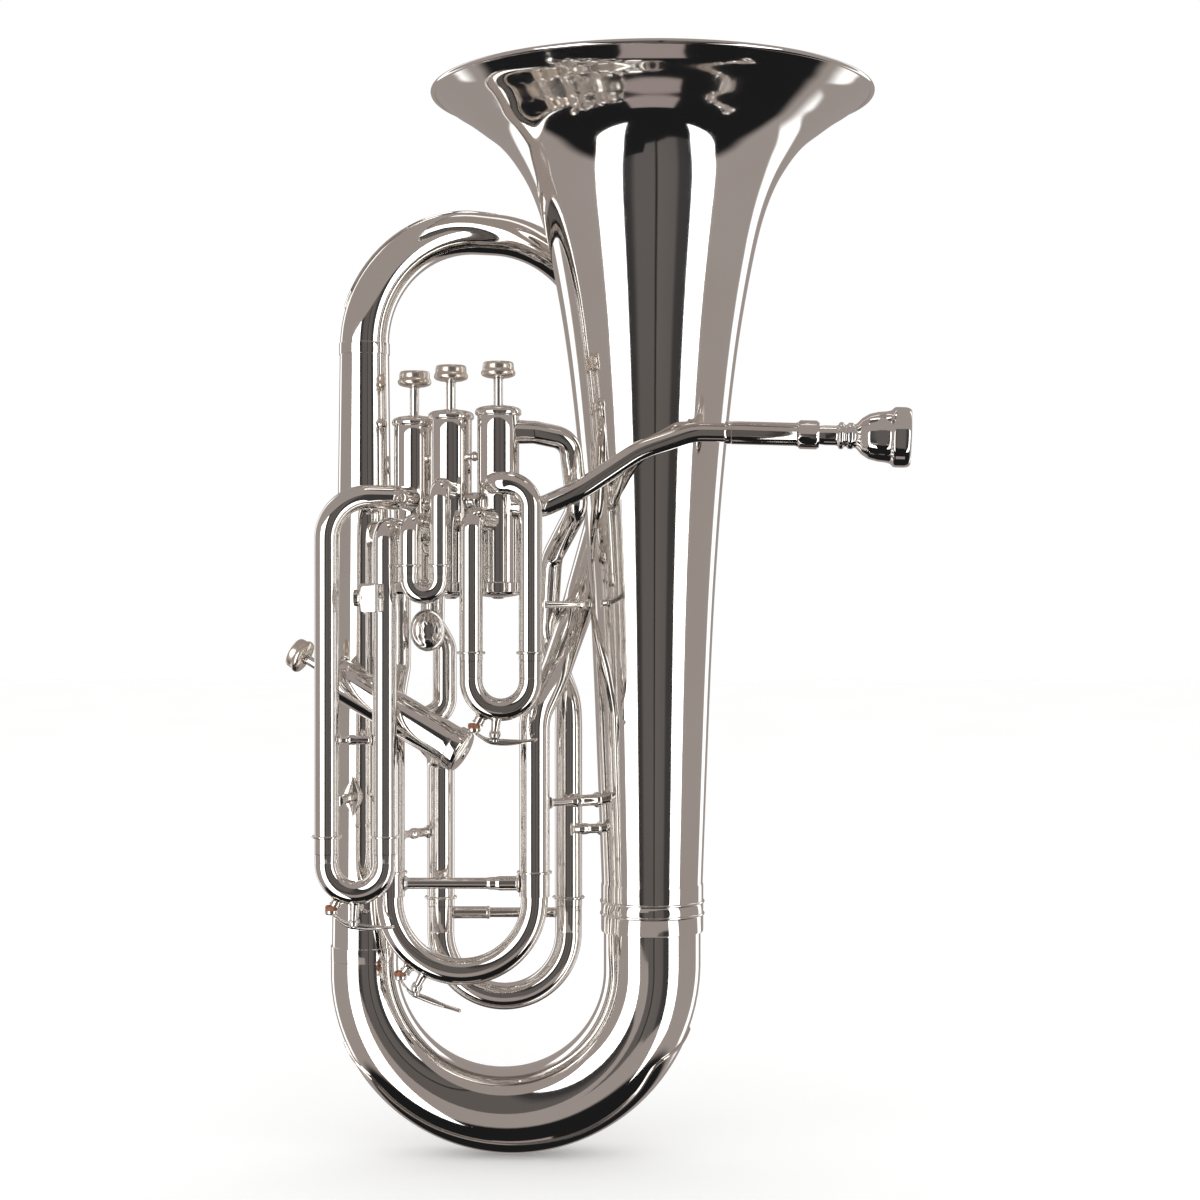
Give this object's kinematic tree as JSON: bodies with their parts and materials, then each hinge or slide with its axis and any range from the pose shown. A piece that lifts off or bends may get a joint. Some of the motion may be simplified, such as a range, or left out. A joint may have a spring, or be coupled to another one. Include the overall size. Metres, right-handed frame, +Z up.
{
  "type": "euphonium",
  "caption": "Compensating euphonium (tenor tuba): upright bell, conical bows, three top-action pistons, a side-action fourth valve, pull-out tuning slides and mouthpiece.",
  "frame": {"origin": "under the lowest point of the bottom bow, on the bell axis plane", "axes": "+Z up along the bell axis, towards the bell's mouth; +X towards the mouthpiece; -Y towards the side with the tuning slides"},
  "size_m": [0.4124, 0.3, 0.719],
  "materials": {
    "silver_plate": "polished silver plate",
    "button_plate": "polished silver plate, warmer tone",
    "piston_metal": "fine lapped nickel alloy",
    "spring_steel": "bright spring wire"
  },
  "bodies": {
    "horn": {"bell": "silver_plate", "bell_ferrule": "silver_plate", "bottom_bow": "silver_plate", "bottom_bow_guard": "silver_plate", "ascending_branch": "silver_plate", "top_bow": "silver_plate", "top_bow_guard": "silver_plate", "rear_branch": "silver_plate", "link_tube": "silver_plate", "lead_pipe": "silver_plate", "mouthpiece_receiver": "silver_plate", "valve_block": "silver_plate", "valve_casing_4": "silver_plate", "top_cap_1": "silver_plate", "top_cap_2": "silver_plate", "top_cap_3": "silver_plate", "top_cap_4": "silver_plate", "bottom_cap_1": "silver_plate", "bottom_cap_2": "silver_plate", "bottom_cap_3": "silver_plate", "bottom_cap_4": "silver_plate", "valve_spring_1": "spring_steel", "valve_spring_2": "spring_steel", "valve_spring_3": "spring_steel", "valve_spring_4": "spring_steel", "main_slide_sleeve": "silver_plate", "first_slide_knuckle": "silver_plate", "first_slide_crook": "silver_plate", "second_slide_knuckle": "silver_plate", "second_slide_crook": "silver_plate", "third_slide_knuckle": "silver_plate", "third_slide_crook": "silver_plate", "fourth_slide_sleeve": "silver_plate", "fourth_valve_inlet": "silver_plate", "fourth_valve_loop": "silver_plate", "compensating_loop_1": "silver_plate", "compensating_loop_3": "silver_plate", "bell_brace_upper": "silver_plate", "bell_brace_lower": "silver_plate", "third_slide_brace": "silver_plate", "main_slide_brace": "silver_plate", "lyre_socket": "silver_plate"},
    "valve_1": {"piston_1": "piston_metal", "finger_button_1": "button_plate"},
    "valve_2": {"piston_2": "piston_metal", "finger_button_2": "button_plate"},
    "valve_3": {"piston_3": "piston_metal", "finger_button_3": "button_plate"},
    "valve_4": {"piston_4": "piston_metal", "finger_button_4": "button_plate"},
    "main_slide": {"main_slide": "silver_plate"},
    "first_slide": {"first_slide": "silver_plate"},
    "second_slide": {"second_slide": "silver_plate"},
    "third_slide": {"third_slide": "silver_plate"},
    "fourth_slide": {"fourth_slide": "silver_plate"},
    "first_water_key": {"first_water_key": "silver_plate"},
    "third_water_key": {"third_water_key": "silver_plate"},
    "main_water_key": {"main_water_key": "silver_plate"},
    "mouthpiece": {"mouthpiece": "silver_plate"},
    "lyre_screw": {"lyre_screw": "silver_plate"}
  },
  "joints": [
    {"name": "valve_1_press", "type": "slide", "parent": "horn", "child": "valve_1", "axis": [0, 0, -1], "range_m": [0, 0.0165], "stiffness_N_per_m": 70, "springref_m": -0.025, "deforming": ["valve_spring_1"]},
    {"name": "valve_2_press", "type": "slide", "parent": "horn", "child": "valve_2", "axis": [0, 0, -1], "range_m": [0, 0.0165], "stiffness_N_per_m": 70, "springref_m": -0.025, "deforming": ["valve_spring_2"]},
    {"name": "valve_3_press", "type": "slide", "parent": "horn", "child": "valve_3", "axis": [0, 0, -1], "range_m": [0, 0.0165], "stiffness_N_per_m": 70, "springref_m": -0.025, "deforming": ["valve_spring_3"]},
    {"name": "valve_4_press", "type": "slide", "parent": "horn", "child": "valve_4", "axis": [0.8476, -0.2158, -0.4847], "range_m": [0, 0.0165], "stiffness_N_per_m": 70, "springref_m": -0.025, "deforming": ["valve_spring_4"]},
    {"name": "main_slide_pull", "type": "slide", "parent": "horn", "child": "main_slide", "axis": [0, 0, -1], "range_m": [0, 0.04]},
    {"name": "first_slide_pull", "type": "slide", "parent": "horn", "child": "first_slide", "axis": [0, 0, -1], "range_m": [0, 0.05]},
    {"name": "second_slide_pull", "type": "slide", "parent": "horn", "child": "second_slide", "axis": [0, 0, -1], "range_m": [0, 0.02]},
    {"name": "third_slide_pull", "type": "slide", "parent": "horn", "child": "third_slide", "axis": [0, 0, -1], "range_m": [0, 0.06]},
    {"name": "fourth_slide_pull", "type": "slide", "parent": "horn", "child": "fourth_slide", "axis": [0, 0, -1], "range_m": [0, 0.03]},
    {"name": "first_water_key_press", "type": "hinge", "parent": "first_slide", "child": "first_water_key", "pos_m": [-0.0128, -0.0765, 0.2884], "axis": [0, -1, 0], "range_deg": [0, 12], "stiffness_Nm_per_rad": 0.05, "springref_deg": -22.92},
    {"name": "third_water_key_press", "type": "hinge", "parent": "third_slide", "child": "third_water_key", "pos_m": [-0.1048, -0.063, 0.1654], "axis": [0, -1, 0], "range_deg": [0, 12], "stiffness_Nm_per_rad": 0.05, "springref_deg": -22.92},
    {"name": "main_water_key_press", "type": "hinge", "parent": "main_slide", "child": "main_water_key", "pos_m": [-0.067, -0.03, 0.1174], "axis": [0, -1, 0], "range_deg": [0, 12], "stiffness_Nm_per_rad": 0.05, "springref_deg": -22.92},
    {"name": "mouthpiece_pull", "type": "slide", "parent": "horn", "child": "mouthpiece", "axis": [0.9943, -0.1003, -0.0351], "range_m": [0, 0.03]},
    {"name": "lyre_screw_turn", "type": "hinge", "parent": "horn", "child": "lyre_screw", "pos_m": [-0.0964, -0.076, 0.3764], "axis": [-1, 0, 0], "continuous": true}
  ]
}
